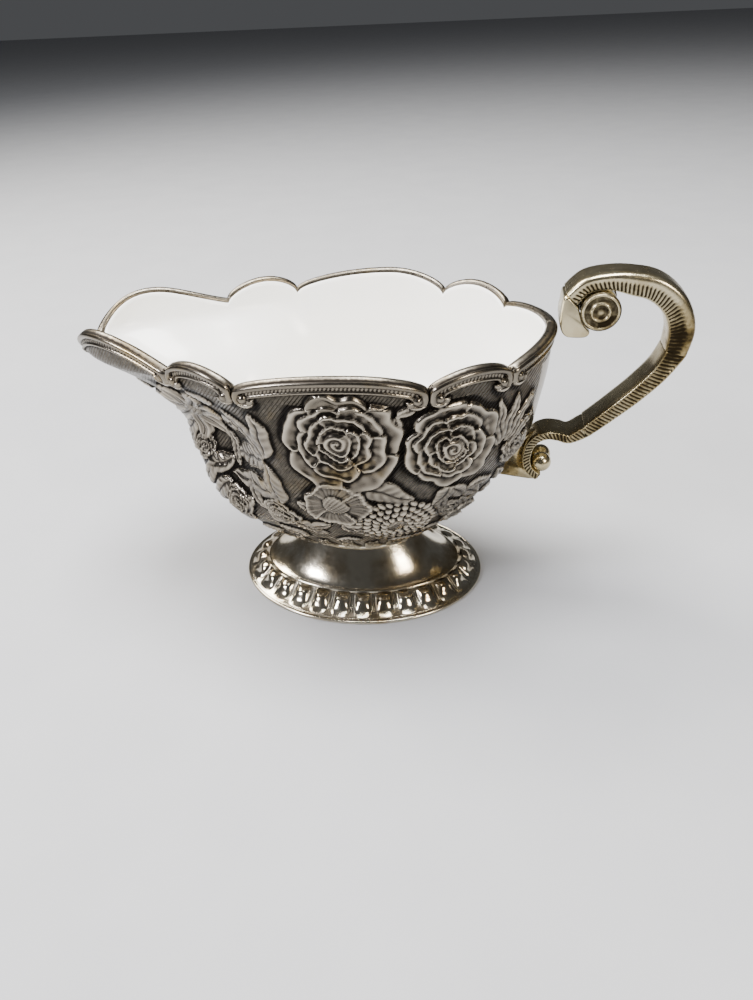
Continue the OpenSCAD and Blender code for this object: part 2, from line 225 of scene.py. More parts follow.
def rose(a, b, radius, turn=0.0, height=1.5):
    """Four rings of petals round a bud with a spiral furrow."""
    r = np.hypot(a, b)
    outer = petal_ring(a, b, radius, 5, turn, 0.6 * height, 0.45)
    second = petal_ring(a, b, 0.76 * radius, 5, turn + 0.31, 0.78 * height, 0.4)
    middle = petal_ring(a, b, 0.54 * radius, 4, turn + 0.37, 0.92 * height, 0.36)
    inner = petal_ring(a, b, 0.36 * radius, 3, turn + 0.11, 1.04 * height, 0.3)
    spiral = np.cos(np.arctan2(b, a) - 2 * np.pi * r / (0.11 * radius))
    bud = (1.02 + 0.13 * spiral) * height * smooth(0.24 * radius - r, 0, 0.5)
    return np.maximum.reduce([outer, second, middle, inner, bud])


def leaf(a, b, tip_a, tip_b, width, height=0.85, veins=6, flutes=0.0):
    """A leaf from (0, 0) to its tip: a domed blade with a sunk midrib and slanting veins.

    With flutes it is a petal instead, furrowed along its length.
    """
    length = math.hypot(tip_a, tip_b)
    t = (a * tip_a + b * tip_b) / length ** 2
    w = (b * tip_a - a * tip_b) / length
    inside = share(t, 0, 1)
    edge = width / 2 * np.sin(np.pi * inside ** 0.85) ** 0.75 + 1e-6
    v = np.abs(w) / edge
    blade = np.sqrt(np.maximum(0, 1 - v ** 2.4)) * (0.72 + 0.28 * v)
    midrib = 0.3 * np.exp(-(w / 0.28) ** 2)
    slant = np.cos(2 * np.pi * (t * veins - 0.55 * veins * np.abs(w) / length))
    furrow = 0.1 * slant if not flutes else 0.16 * np.cos(2 * np.pi * w / flutes)
    h = height * (blade * (1 + furrow * (v > 0.12)) - midrib * blade)
    return np.where((t > 0) & (t < 1), np.maximum(h, 0), 0)


def petals(a, b, count, turn, inner, outer, width, height, flutes):
    """A whorl of furrowed petals round a centre."""
    whorl = np.zeros_like(a)
    for k in range(count):
        q = 2 * math.pi * (k + turn) / count
        start_a, start_b = inner * math.cos(q), inner * math.sin(q)
        reach = outer - inner
        whorl = np.maximum(whorl, leaf(a - start_a, b - start_b, reach * math.cos(q), reach * math.sin(q),
                                       width, height, 3, flutes))
    return whorl


def seeded_centre(a, b, radius, height):
    """A low dome studded with seeds 0.9 mm apart."""
    r = np.hypot(a, b)
    seeds = 0.5 + 0.5 * np.cos(2 * np.pi * a / 0.95) * np.cos(2 * np.pi * b / 0.95)
    return (height * (0.6 + 0.25 * dome(r, radius)) + 0.28 * seeds) * (r < radius)


def four_petal_flower(a, b, size):
    """Broad rolled petals round a seeded centre."""
    r = np.hypot(a, b)
    ring = petal_ring(a, b, size, 4, 0.125, 1.15, 0.55)
    rays = 1 + 0.07 * np.cos(36 * np.arctan2(b, a)) * (r > 0.4 * size)
    ring = ring * rays * smooth(r, 0.25 * size, 0.4 * size)
    return np.maximum(ring, seeded_centre(a, b, 0.36 * size, 0.9))


def bead_flower(a, b, radius):
    """A chrysanthemum: rings of small round petals, higher towards the middle."""
    r = np.hypot(a, b)
    total = seeded_centre(a, b, 0.22 * radius, 1.3)
    rings = 4
    for j in range(rings):
        ring_r = radius * (0.3 + 0.2 * j)
        count = round(2 * math.pi * ring_r / (0.19 * radius))
        f = np.arctan2(b, a) / (2 * np.pi) * count + 0.5 * (j % 2)
        across = (f - np.round(f)) * 2 * np.pi * ring_r / count
        bump = dome(np.hypot(across / (0.095 * radius), (r - ring_r) / (0.115 * radius)), 1.0)
        total = np.maximum(total, bump * (1.35 - 0.17 * j) * (bump > 0))
    return total


def ribbed_scroll(phi, z, along, ends):
    """The rim scrolls: a rolled crest, a ribbed channel, a bead line and an eye at each end.

    Heights depend on the distance in from a scroll's outline, which is its crest above and its
    two ends at the sides, and a circle round the eye below the eye's height.
    """
    total = np.zeros_like(phi)
    for i in range(5):
        here = (phi >= NOTCHES[i]) & (phi <= NOTCHES[i + 1])
        start, stop = ends[i], ends[i + 1]
        notch_left = wall_top(NOTCHES[i]) + (NOTCH_H if i else TIP_H)
        notch_right = wall_top(NOTCHES[i + 1]) + NOTCH_H
        down = crest(phi, i) - z
        size = 2.1 if i != 1 else 1.8
        left = along - start if i > 0 else np.full_like(along, 9.0)
        right = stop - along if i < 4 else np.full_like(along, 9.0)
        side = np.minimum(left, right)
        soft = 1.2
        blend = np.maximum(0, soft - np.abs(down - side)) ** 2 / (4 * soft)
        depth = np.minimum(down, side) - blend
        height_left, height_right = notch_left - 1.5, notch_right - 1.5
        eye = np.zeros_like(phi)
        eyes = []
        if i > 0:
            eyes.append((start + size, height_left))
        if i < 4:
            eyes.append((stop - size, height_right))
        for centre, level in eyes:
            r = np.hypot(along - centre, z - level)
            below = (z < level) & (np.abs(along - centre) < size + 1.5)
            depth = np.where(below, size - r, depth)
            eye = np.maximum(eye, 1.15 * dome(r, 1.0))
        floor_of_scroll = np.minimum(height_left, height_right)
        depth = np.where((z < floor_of_scroll) & (side > 2 * size + 0.5), 9.0, depth)
        ribs = 0.5 + 0.5 * np.cos(2 * np.pi * (along + 0.3 * depth) / 0.75)
        roll = 0.98 * dome(depth - 0.72, 0.78) * (depth > -0.07) * (0.35 + 0.65 * smooth(phi, 1, 18))
        channel = (0.14 + 0.15 * ribs) * smooth(depth, 1.2, 1.5) * smooth(2.75 - depth, 0, 0.4)
        bead = 0.55 * dome(depth - 2.75, 0.42)
        total = np.where(here, np.maximum.reduce([total, roll, channel, bead, eye]), total)
    return total


# Each motif is placed by its angle from the spout tip and its height on the wall.
ROSES = ((88.5, 52.6, 12.6, 0.05, 1.6), (121.5, 49.6, 10.6, 0.6, 1.55), (67, 31.2, 4.6, 0.3, 1.2),
         (150.5, 43.5, 4.2, 0.1, 1.0), (44, 28.8, 4.4, 0.5, 1.1),
         (29, 38.6, 3.8, 0.2, 1.0), (131.5, 31, 3.6, 0.4, 1.0))
FOUR_PETAL_FLOWERS = ((87, 36.6, 7.4), (143.5, 27.5, 4.2))
BEAD_FLOWERS = ((110, 29.5, 8.8),)
# Leaves: angle and height of the stalk end, then how far the tip is across and up, and the width.
LEAVES = ((94.5, 42.6, 10.5, -5.5, 6.2), (66.5, 45.5, -15, -5.5, 6.5), (66.8, 44.6, 1.2, -10.5, 6.6),
          (67, 45.6, -7, 11, 5.2), (67.5, 46, 0.6, 11.5, 5.0), (70.5, 37.4, -17.5, -3.5, 5.0),
          (71, 29.5, 6, -5.5, 4.2), (62, 25.5, 6, -5, 3.6), (74.8, 36.6, 4.0, -2.2, 3.0),
          (141, 46.5, -5.5, 10.5, 2.8), (141.5, 46.6, -1.2, 11.2, 2.8), (142.5, 46.8, 3.2, 10.6, 2.8),
          (144, 46.4, 7.2, 9.4, 2.8), (145, 45, 9.0, 6.2, 2.6), (126, 39.2, -3, -6, 4.2),
          (126.5, 39.3, 3.4, -5, 4.0), (134, 36.5, 5.5, -4.5, 3.6), (134, 37, 6.5, 0.6, 3.2),
          (136, 33.5, 2.4, -6.2, 3.4), (124, 36, 2, -6.5, 3.6), (100, 26, 5, -4.5, 3.4),
          (84, 29.5, -5.5, -3.5, 3.6), (88, 29.5, 5.5, -4.5, 3.6), (104.5, 58, 3.6, 1.8, 2.6),
          (104.5, 58, -1.0, -4.6, 2.6),
          (48, 38.5, -9, -6, 4.8), (45, 33.5, -8, -6.5, 4.6), (55, 31.5, -8.5, -5.5, 4.4),
          (50, 26.5, -7.5, -5, 4.0), (38, 36.5, -6, -7.5, 4.4), (27, 45, -6, -7, 4.2), (24, 49, -8, -4, 4.0),
          (22, 53, -9.5, 0.5, 4.0), (60, 52, -6.5, -4.5, 4.4), (61, 57, -7, 1.5, 4.0),
          (56, 37.5, 4.5, -7, 4.0), (48, 44.5, 3.5, -6.5, 4.4),
          (33, 30.5, -4.5, -6.5, 3.8), (22, 42, -3, -7, 3.4), (60, 22.5, -7, -2.5, 3.4),
          (150, 38, 4.5, -5.5, 3.6), (147, 33, -5, -5, 3.8), (152, 32.5, 4.5, -5, 3.4), (133, 28, 5, 4, 3.6),
          (138, 24, 5.5, 3, 3.4), (128, 23, 5.5, -1.5, 3.4), (96, 22.5, -5.5, -1.5, 3.2),
          (112, 20.5, 5.5, -1, 3.2), (156, 41, 2, 6, 3.0))
# The lily by the spout: angle, height, reach of its petals.
LILY = (37.5, 49.5, 9.8)
# Small leaves that stand in a row round the bottom of the bowl.
HEM_LEAVES = 20


def flowers(points, phi, z):
    """All the chased flowers and leaves, each as the highest of what lies at a place."""
    total = np.zeros_like(phi)

    def lay(place_phi, place_z, reach, shape):
        nonlocal total
        a, b, off = local(points, place_phi, place_z)
        # Hand chasing wanders a little: nothing is quite round or straight.
        a, b = a + 0.28 * np.sin(1.1 * b + place_z), b + 0.28 * np.sin(0.95 * a + place_phi)
        near = (np.hypot(a, b) < reach) & (off < reach)
        if near.any():
            total[near] = np.maximum(total[near], shape(a[near], b[near]))

    for k in range(HEM_LEAVES):
        q = 14 + 152 * k / (HEM_LEAVES - 1)
        lean = 2.0 if k % 2 else -2.4
        lay(q, 14.6, 9, lambda a, b: leaf(a, b, lean, 7.6, 3.4, 0.65, 4))
    for stalk_phi, stalk_z, tip_a, tip_b, width in LEAVES:
        lay(stalk_phi, stalk_z, math.hypot(tip_a, tip_b) + 2, lambda a, b: leaf(a, b, tip_a, tip_b, width))
    lay(LILY[0], LILY[1], LILY[2] + 2, lambda a, b: np.maximum(
        petals(a, b, 7, 0.2, 1.0, LILY[2], 5.4, 1.2, 1.3), seeded_centre(a, b, 2.0, 1.0)))
    for q, h, size in FOUR_PETAL_FLOWERS:
        lay(q, h, size + 1, lambda a, b: four_petal_flower(a, b, size))
    for q, h, size in BEAD_FLOWERS:
        lay(q, h, size + 1, lambda a, b: bead_flower(a, b, size))
    for q, h, size, turn, height in ROSES:
        lay(q, h, size + 1, lambda a, b: rose(a, b, size, turn, height))
    return total


def keel_band(points, phi):
    """1 away from the plain bands that run down the front and the back, 0 on them."""
    half_width = np.where(phi > 90, 2.6 + 5.0 * smooth(points[..., 2], 36, 50), 2.2)
    return smooth(np.abs(points[..., 1]) - half_width, 0, 1.0)


def relief(phi, z):
    """Height of everything that stands out from the wall at a place."""
    points = bowl_wall(phi, z)
    along_ref = np.linspace(0, 180, 721)
    run = run_along(bowl_wall(along_ref, np.full_like(along_ref, WALL_TOP + 2)))
    along = np.interp(phi, along_ref, run)
    ends = np.interp(NOTCHES, along_ref, run)
    band = keel_band(points, phi)
    chased = flowers(points, phi, z) * band
    scrolls = ribbed_scroll(phi, z, along, ends) * smooth(z, WALL_TOP - 4.5, WALL_TOP - 3.5)
    chased = chased * (1 - smooth(scrolls, 0.02, 0.2) * (z > WALL_TOP - 4))
    return np.maximum(chased, scrolls), band


def blurred(height, passes):
    """Average with the neighbours along both ways of the grid, many times over."""
    h = np.pad(height, 1, mode="edge")
    for _ in range(passes):
        h[1:-1, 1:-1] = (h[1:-1, 1:-1] * 2 + h[:-2, 1:-1] + h[2:, 1:-1] + h[1:-1, :-2] + h[1:-1, 2:]) / 6
        h[0], h[-1], h[:, 0], h[:, -1] = h[1], h[-2], h[:, 1], h[:, -2]
    return h[1:-1, 1:-1]


def oxide_and_shade_depth(height, passes=14, floor=0.3):
    """How dark a place is painted: black oxidation and painted shade, deepest where it lies below what is
    round it.
    """
    sunk = blurred(height, passes) - height
    # The first term is a painted shade over all the low ground; the second paints oxidation and shade into
    # the hollows.
    return np.clip(floor * np.exp(-height / 0.35) + 1.25 * sunk / 0.4, 0, 1)


def wear_and_highlight(height, passes=10):
    """How bright a place is painted: rubbed wear and a painted highlight, most where it stands above what is
    round it.
    """
    return np.clip(0.12 + (height - blurred(height, passes)) / 0.26, 0, 1)


# ---- Meshes ---------------------------------------------------------------------------------

def new_piece(name, vertices, faces, replaced, attributes=None):
    """A finished piece from vertices in millimetres; it rides the jug and stands for its nodes."""
    mesh = bpy.data.meshes.new(name)
    mesh.from_pydata(((np.asarray(vertices) + FOOT_MIDDLE) * MM).tolist(), [], faces)
    mesh.update()
    for key, values in {"wear_and_painted_light": np.ones(len(mesh.vertices)), **(attributes or {})}.items():
        layer = mesh.attributes.new(key, "FLOAT", "POINT")
        layer.data.foreach_set("value", np.asarray(values, dtype=np.float32).ravel())
    mesh.polygons.foreach_set("use_smooth", np.ones(len(mesh.polygons), dtype=bool))
    piece = bpy.data.objects.new(name, mesh)
    bpy.context.scene.collection.objects.link(piece)
    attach(piece, BODY)
    if replaced:
        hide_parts(*replaced)
    return piece


def grid_faces(rows, columns, close_rows=False, close_columns=False, start=0, flip=False):
    """Quads between neighbouring places of a rows by columns grid whose vertices begin at start."""
    i = np.arange(rows if close_rows else rows - 1)
    j = np.arange(columns if close_columns else columns - 1)
    i, j = np.meshgrid(i, j, indexing="ij")
    i2, j2 = (i + 1) % rows, (j + 1) % columns
    row, next_row = i * columns, i2 * columns
    quads = np.stack([row + j, row + j2, next_row + j2, next_row + j], -1).reshape(-1, 4)
    if flip:
        quads = quads[:, ::-1]
    return (quads + start).tolist()


def carried(name, loops, replaced, attributes=None, ring=False, flip=False):
    """A closed piece from section loops (count, points, 3) carried along a path."""
    count, points = loops.shape[:2]
    faces = grid_faces(count, points, close_rows=ring, close_columns=True, flip=flip)
    if not ring:
        first, last = list(range(points)), list(range((count - 1) * points, count * points))
        faces += [first[::-1], last] if not flip else [first, last[::-1]]
    return new_piece(name, loops.reshape(-1, 3), faces, replaced, attributes)


def turned(name, profile, place, replaced, side=1, steps=64, attributes=None):
    """A turned piece: a profile of (radius, height) pairs spun round an axis along the jug's width."""
    q = np.linspace(0, 2 * np.pi, steps, endpoint=False)
    radius, height = profile[:, 0], profile[:, 1]
    x = place[0] + radius[:, None] * np.cos(q)[None]
    z = place[1] + radius[:, None] * np.sin(q)[None]
    y = np.broadcast_to(side * height[:, None], x.shape)
    vertices = np.stack([x, y, z], -1)
    rows = len(profile)
    faces = grid_faces(rows, steps, close_columns=True, flip=side > 0)
    first, last = list(range(steps)), list(range((rows - 1) * steps, rows * steps))
    faces += [first, last[::-1]] if side > 0 else [first[::-1], last]
    return new_piece(name, vertices.reshape(-1, 3), faces, replaced, attributes)


def even_columns(count, z, low=0.0, high=180.0):
    """Angles that are equally far apart along the wall at height z."""
    q = np.linspace(low, high, 2001)
    run = run_along(bowl_wall(q, np.full_like(q, z)))
    return np.interp(np.linspace(0, run[-1], count), run, q)


def mirrored(vertices):
    """The same place on the far side."""
    return vertices * np.array([1, -1, 1])


# ---- Bowl -----------------------------------------------------------------------------------

def bowl_halves():
    """The two chased halves: the wall with its relief outside, plain inside, flat floor below."""
    columns, rows, inner_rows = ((420, 188, 40))
    phi = 0.45 * even_columns(columns, 58) + 0.55 * even_columns(columns, 38)
    t = np.linspace(0, 1, rows) ** 1.35
    phi_grid, t_grid = np.meshgrid(phi, t)
    z = FOOT_H + (wall_top(phi_grid) - FOOT_H) * t_grid
    height, band = relief(phi_grid, z)
    height *= smooth(t_grid, 0, 0.02)
    outer = off_wall(phi_grid, z, height)
    outer[0, :, 2] = FOOT_H
    phi_in, t_in = np.meshgrid(phi, np.linspace(0, 1, inner_rows) ** 1.35)
    z_in = FOOT_H + (wall_top(phi_in) - FOOT_H) * t_in
    inner = behind_wall(phi_in, z_in, np.full_like(z_in, WALL_T))
    inner[0, :, 2] = FOOT_H + WALL_T
    inner[..., 1] = np.minimum(inner[..., 1], 0)
    for grid in (outer, inner):
        grid[:, 0, 1] = 0
        grid[:, -1, 1] = 0
    vertices = np.concatenate([outer.reshape(-1, 3), inner.reshape(-1, 3)])
    start = rows * columns
    outside = np.arange(start).reshape(rows, columns)
    inside = start + np.arange(inner_rows * columns).reshape(inner_rows, columns)
    faces = grid_faces(rows, columns) + grid_faces(inner_rows, columns, start=start, flip=True)
    faces += np.stack([outside[-1, :-1], outside[-1, 1:], inside[-1, 1:], inside[-1, :-1]], -1).tolist()
    faces += [outside[0, ::-1].tolist(), inside[0].tolist()]
    # The cut through the middle plane is one face shaped like a U.
    faces += [np.concatenate([outside[:, 0], inside[::-1, 0], inside[:, -1], outside[::-1, -1]]).tolist()]
    # Painted light on the chased wall: oxidation with painted shade in the hollows and on the low ground,
    # and painted highlights with wear on the raised edges.
    dark = oxide_and_shade_depth(height)
    plain = np.maximum(1 - band, smooth(height, 0.05, 0.25))
    wear_and_painted_light = np.maximum(wear_and_highlight(height), 0.55 * (1 - band))
    dark = dark * (0.25 + 0.75 * band)
    attributes = {"oxide_and_shade": np.concatenate([dark.ravel(), np.zeros(inner_rows * columns)]),
                  "plain": np.concatenate([plain.ravel(), np.ones(inner_rows * columns)]),
                  "wear_and_painted_light": np.concatenate([wear_and_painted_light.ravel(), np.ones(inner_rows * columns)])}
    near = new_piece("near_chased_half", vertices, faces, ["near_body_half"], attributes)
    far = new_piece("far_chased_half", mirrored(vertices), [f[::-1] for f in faces], ["far_body_half"],
                    attributes)
    return [near, far]


def rim_scrolls():
    """Each scroll as sections carried along the rim: relief outside, a rounded crest, plain inside."""
    pieces = []
    for i, word in enumerate(SCROLL_NAMES):
        low, high = NOTCHES[i], NOTCHES[i + 1]
        line = bowl_wall(np.linspace(low, high, 200), np.full(200, WALL_TOP + 2))
        length = np.linalg.norm(np.diff(line, axis=0), axis=1).sum()
        columns = int(length / 0.2)
        phi = even_columns(columns, WALL_TOP + 2, low, high)
        rows = 44
        phi_grid, t = np.meshgrid(phi, np.linspace(0, 1, rows), indexing="ij")
        z = wall_top(phi_grid) + (crest(phi_grid, i) - wall_top(phi_grid)) * t
        inside = np.clip(phi_grid, low + 1e-4, high - 1e-4)
        height, _ = relief(inside, z)
        outer = off_wall(phi_grid, z, height)
        top = np.stack([behind_wall(phi, crest(phi, i) + rise, np.full_like(phi, depth))
                        for depth, rise in ((0.25, 0.3), (0.6, 0.42), (1.0, 0.34), (WALL_T, 0.0))], 1)
        phi_grid, t = np.meshgrid(phi, np.linspace(0.9, 0, 10), indexing="ij")
        z = wall_top(phi_grid) + (crest(phi_grid, i) - wall_top(phi_grid)) * t
        inner = behind_wall(phi_grid, z, np.full_like(z, WALL_T))
        loops = np.concatenate([outer, top, inner], 1)
        loops[..., 1] = np.minimum(loops[..., 1], 0)
        if low == 0:
            loops[0, :, 1] = 0
        if high == 180:
            loops[-1, :, 1] = 0
        # Oxidation with painted shade in the hollows and painted highlights on the raised edges; the crest's
        # top and inside faces get an even painted shade and a duller colour.
        dark = oxide_and_shade_depth(height, 8, 0.3)
        extra = np.zeros((columns, 14))
        attributes = {"oxide_and_shade": np.concatenate([dark, extra + 0.25], 1),
                      "plain": np.concatenate([smooth(height, 0.02, 0.15), extra + 1], 1),
                      "wear_and_painted_light": np.concatenate([wear_and_highlight(height, 5), extra + 0.3], 1)}
        for side, turn in (("near", False), ("far", True)):
            pieces.append(carried(f"{side}_{word}_scroll_chased", mirrored(loops) if turn else loops,
                                  [f"{side}_{word}_scroll"], attributes, flip=not turn))
    return pieces


def enamel_bowl():
    """The lining: a thin skin inside the wall and the scrolls, up to the scalloped rim."""
    stretches = [even_columns(count, 62, NOTCHES[i], NOTCHES[i + 1])[:-1]
                 for i, count in enumerate((120, 30, 40, 30, 40))]
    half = np.concatenate(stretches + [[180.0]])
    rows = 70
    t = np.linspace(0, 1, rows) ** 1.2

    def face(depth):
        phi, t_grid = np.meshgrid(half, t)
        z = FOOT_H + (crest(phi) - 0.6 - FOOT_H) * t_grid
        near = behind_wall(phi, z, np.full_like(z, depth))
        near[..., 1] = np.minimum(near[..., 1], 0)
        near[0, :, 2] = FOOT_H + depth
        near[:, 0, 1] = 0
        near[:, -1, 1] = 0
        return np.concatenate([near, mirrored(near[:, -2:0:-1])], 1)

    outer, inner = face(WALL_T), face(WALL_T + LINING_T)
    middle = (outer[-1] + inner[-1]) / 2 + np.array([0, 0, 0.12])
    columns = outer.shape[1]
    vertices = np.concatenate([outer.reshape(-1, 3), middle, inner[::-1].reshape(-1, 3)])
    total = 2 * rows + 1
    faces = grid_faces(total, columns, close_columns=True)
    faces += [list(range(columns))[::-1], list(range((total - 1) * columns, total * columns))]
    return new_piece("enamel_bowl", vertices, faces, ["enamel_lining"])


# ---- Foot -----------------------------------------------------------------------------------

LOBES = 28
FLANGE_IN = 4.4
FOOT_COLUMNS = 288


def oval_ring(section, columns):
    """A section of half length, half width and height, or one for each column, round an oval."""
    q = np.linspace(0, 2 * np.pi, columns, endpoint=False)[:, None]
    return np.stack([section[..., 0] * np.cos(q), section[..., 1] * np.sin(q), section[..., 2] + 0 * q], -1)


def foot_dome():
    """The polished dome: a hollow sweep from the shoulder up to the collar."""
    t = np.linspace(0, 1, 40)
    top = FOOT_H - (COLLAR_HIGH[2] - COLLAR_LOW[2])
    width = 1 - t ** 0.62

    def wall(depth):
        a = NECK_A - 0.6 - depth + (SHOULDER_A - NECK_A + 0.6) * width
        b = NECK_B - 0.6 - depth + (SHOULDER_B - NECK_B + 0.6) * width
        inside = ((t > 0) & (t < 1)) * depth * 0.7
        return np.stack([a, b, SHOULDER_Z + (top - SHOULDER_Z) * t - inside], -1)

    section = np.concatenate([wall(0), wall(WALL_T)[::-1]])
    return carried("polished_foot_dome", oval_ring(section, FOOT_COLUMNS), ["foot_dome"],
                   ring=True, flip=True)


def foot_collar():
    """A plain band with a rounded edge where the bowl is soldered to the foot."""
    height = COLLAR_HIGH[2] - COLLAR_LOW[2]
    q = np.linspace(-math.pi / 2, math.pi / 2, 13)
    rise = COLLAR_LOW[2] + height * (0.5 + 0.5 * np.sin(q))
    reach = 0.35 * np.cos(q) - 0.35
    section = np.stack([NECK_A + reach, NECK_B + reach, rise], -1)
    columns = 192
    loops = oval_ring(section, columns)
    points = section.shape[0]
    faces = grid_faces(columns, points, close_rows=True, flip=True)
    faces += [[c * points for c in range(columns)][::-1], [c * points + points - 1 for c in range(columns)]]
    return new_piece("foot_collar_band", loops.reshape(-1, 3), faces, ["foot_collar"])


def gadroon_border():
    """The lobed border: each lobe swells between double fillets, and narrows towards the dome."""
    columns = LOBES * 22
    q = np.linspace(0, 2 * np.pi, columns, endpoint=False)
    mean, spread = FOOT_A + FOOT_B - FLANGE_IN, (FOOT_A - FOOT_B) / 2
    phase = LOBES * (q - spread / mean * np.sin(2 * q))
    f = (phase / (2 * np.pi)) % 1.0
    side = np.minimum(f, 1 - f) * 2
    v = np.linspace(0, 1, 30)
    # A lobe is round across; it swells to a bead near the dome and thins out towards the flange.
    lobe = np.sqrt(np.maximum(0, 1 - (1 - share(side, 0.26, 1)) ** 2))
    fullness = np.sin(np.pi * share(v, 0.05, 0.97) ** 1.5) ** 0.6 * (0.55 + 0.45 * smooth(v, 0.3, 0.7))
    fillets = np.exp(-((side - 0.13) / 0.055) ** 2) * 0.3
    a = FOOT_A - 1.0 + (SHOULDER_A - FOOT_A + 1.0) * v
    b = FOOT_B - 1.0 + (SHOULDER_B - FOOT_B + 1.0) * v
    z = FLANGE_T + (SHOULDER_Z - FLANGE_T) * (0.3 * v + 0.7 * v ** 2)
    bump = (lobe[:, None] * 1.45 + fillets[:, None]) * fullness[None]
    outer = np.stack([a[None] + 0.4 * bump, b[None] + 0.4 * bump, z[None] + bump * 0.7], -1)
    inner = np.array([[SHOULDER_A - WALL_T, SHOULDER_B - WALL_T, SHOULDER_Z],
                      [FOOT_A - FLANGE_IN + 0.4, FOOT_B - FLANGE_IN + 0.2, FLANGE_T]])
    section = np.concatenate([outer, np.broadcast_to(inner, (columns, 2, 3))], 1)
    loops = oval_ring(section, columns)
    # The gaps between the lobes are painted darker: oxidation and painted shade.
    dark = oxide_and_shade_depth(bump, 10, 0.35)
    attributes = {"oxide_and_shade": np.concatenate([dark * 0.45, np.zeros((columns, 2))], 1)}
    return carried("gadroon_border", loops, ["foot_gadroon_border"], attributes,
                   ring=True, flip=True)


def base_flange():
    """The flat flange the jug stands on, with a rolled edge and a fine groove inside it."""
    e = FLANGE_T
    profile = np.array([[-FLANGE_IN, 0], [-0.25, 0], [-0.08, 0.15 * e], [0, 0.45 * e], [-0.08, 0.8 * e],
                        [-0.3, e], [-0.55, 0.98 * e], [-0.7, 0.8 * e], [-0.85, 0.98 * e], [-1.1, e],
                        [-FLANGE_IN, e]])
    section = np.stack([FOOT_A + profile[:, 0], FOOT_B + profile[:, 0], profile[:, 1]], -1)
    return carried("foot_flange", oval_ring(section, FOOT_COLUMNS), ["foot_base_flange"],
                   ring=True, flip=True)


# ---- Handle ---------------------------------------------------------------------------------

SOCKET_X = node_box("handle_socket")[0][0]
RIM_Z = WALL_TOP
# Centre line: past the rim's rear, above the wall's top, thickness.
ARCH_LINE = ((1.9, 11, 3.4), (4.6, 13.6, 3.3), (8.9, 14.4, 3.6), (13.1, 13.9, 4.6), (17.7, 12.7, 5),
             (21.5, 9.5, 5.2), (23.4, 4.9, 5.2), (23.1, 0.1, 4.6))
ARM_LINE = ((23.1, 0.1, 4.6), (20.8, -4.3, 3.9), (17.1, -8.9, 3.6), (12.5, -13.6, 3.3), (7.5, -18.3, 3))
CURL_LINE = ((7.5, -18.3, 3), (4.5, -20, 2.2), (2.2, -19.5, 2.1), (-0.1, -19.3, 2), (-2.1, -20.1, 2),
             (-3.5, -21.8, 2), (-4.1, -23.9, 2), (-4.2, -25.9, 2), (-3.5, -28.1, 2), (-1.5, -29.9, 2))
ARCH_END = np.array([-1.2, -4.8]) / math.hypot(1.2, 4.8)
CORNER_WAY = np.array([-1, -0.15]) / math.hypot(1, 0.15)
VOLUTE_CENTRE = (7.5, 8.75)
BALL_CENTRE = (-0.9, -26.7)


def handle_line(points, spacing=0.12):
    """A smooth line through the points: each stretch blends its two points and their neighbours."""
    p = np.array(points, dtype=float)
    p = np.concatenate([p[:1], p, p[-1:]])
    fine = []
    for i in range(1, len(p) - 2):
        t = np.linspace(0, 1, 60, endpoint=False)[:, None]
        a, b, c, d = p[i - 1], p[i], p[i + 1], p[i + 2]
        fine.append(0.5 * (2 * b + (c - a) * t + (2 * a - 5 * b + 4 * c - d) * t ** 2
                           + (3 * b - a - 3 * c + d) * t ** 3))
    fine = np.concatenate(fine + [p[-1:]])
    run = run_along(fine[:, :2])
    s = np.linspace(0, run[-1], int(run[-1] / spacing))
    return np.stack([np.interp(s, run, fine[:, k]) for k in range(3)], -1), s


def ribbon(name, points, first, last, replaced, rib_share, slant):
    """A handle piece: a rounded outer rib over a side band with slanting ribs cut in it.

    Round the section an angle gives the place between the inner and outer edge and across the
    width. The side band lies between the inner edge and rib_share of the thickness.
    """
    line, s = handle_line(points)
    way = np.gradient(line[:, :2], axis=0)
    way /= np.linalg.norm(way, axis=1, keepdims=True)
    for k in range(8):
        keep = 1 - k / 8
        if first is not None:
            way[k] = way[k] * (1 - keep) + first * keep
        if last is not None:
            way[-1 - k] = way[-1 - k] * (1 - keep) + last * keep
    way /= np.linalg.norm(way, axis=1, keepdims=True)
    out = np.stack([-way[:, 1], way[:, 0]], -1)
    points_round = 72
    q = np.linspace(0, 2 * np.pi, points_round, endpoint=False)
    power = 0.42
    n = 0.5 * np.sign(np.cos(q)) * np.abs(np.cos(q)) ** power
    y = 0.5 * np.sign(np.sin(q)) * np.abs(np.sin(q)) ** power
    on_side = smooth(np.abs(y), 0.38, 0.47)
    # The band: sunk between its two fine borders, with ribs that slant along it.
    across = share(n, -0.5, rib_share)
    band = smooth(across, 0.08, 0.2) * (1 - smooth(across, 0.86, 0.97)) * on_side
    ribs = 0.5 + 0.5 * np.cos(2 * np.pi * (s[:, None] + slant * (n * 4)[None]) / 0.8)
    sunk = band[None] * (0.36 - 0.2 * ribs)
    thick = line[:, 2][:, None]
    half_y = HANDLE_W * np.abs(y)[None] - sunk
    x = SOCKET_X + line[:, 0][:, None] + out[:, 0][:, None] * n[None] * thick
    z = RIM_Z + line[:, 1][:, None] + out[:, 1][:, None] * n[None] * thick
    loops = np.stack([x, np.sign(y)[None] * half_y, z], -1)
    # The sunk band is painted darker and duller: oxidation and painted shade in the recess.
    attributes = {"oxide_and_shade": np.clip(sunk / 0.36, 0, 1) ** 1.5 * 0.62, "wear_and_painted_light": 1 - 0.5 * sunk / 0.36}
    return carried(name, loops, replaced, attributes, flip=True)


def rounded(outline, times=3):
    """An outline with its corners cut off again and again, a quarter in from each end of a side."""
    for _ in range(times):
        after = np.roll(outline, -1, axis=0)
        cut = np.stack([0.75 * outline + 0.25 * after, 0.25 * outline + 0.75 * after], 1)
        outline = cut.reshape(-1, 2)
    return outline


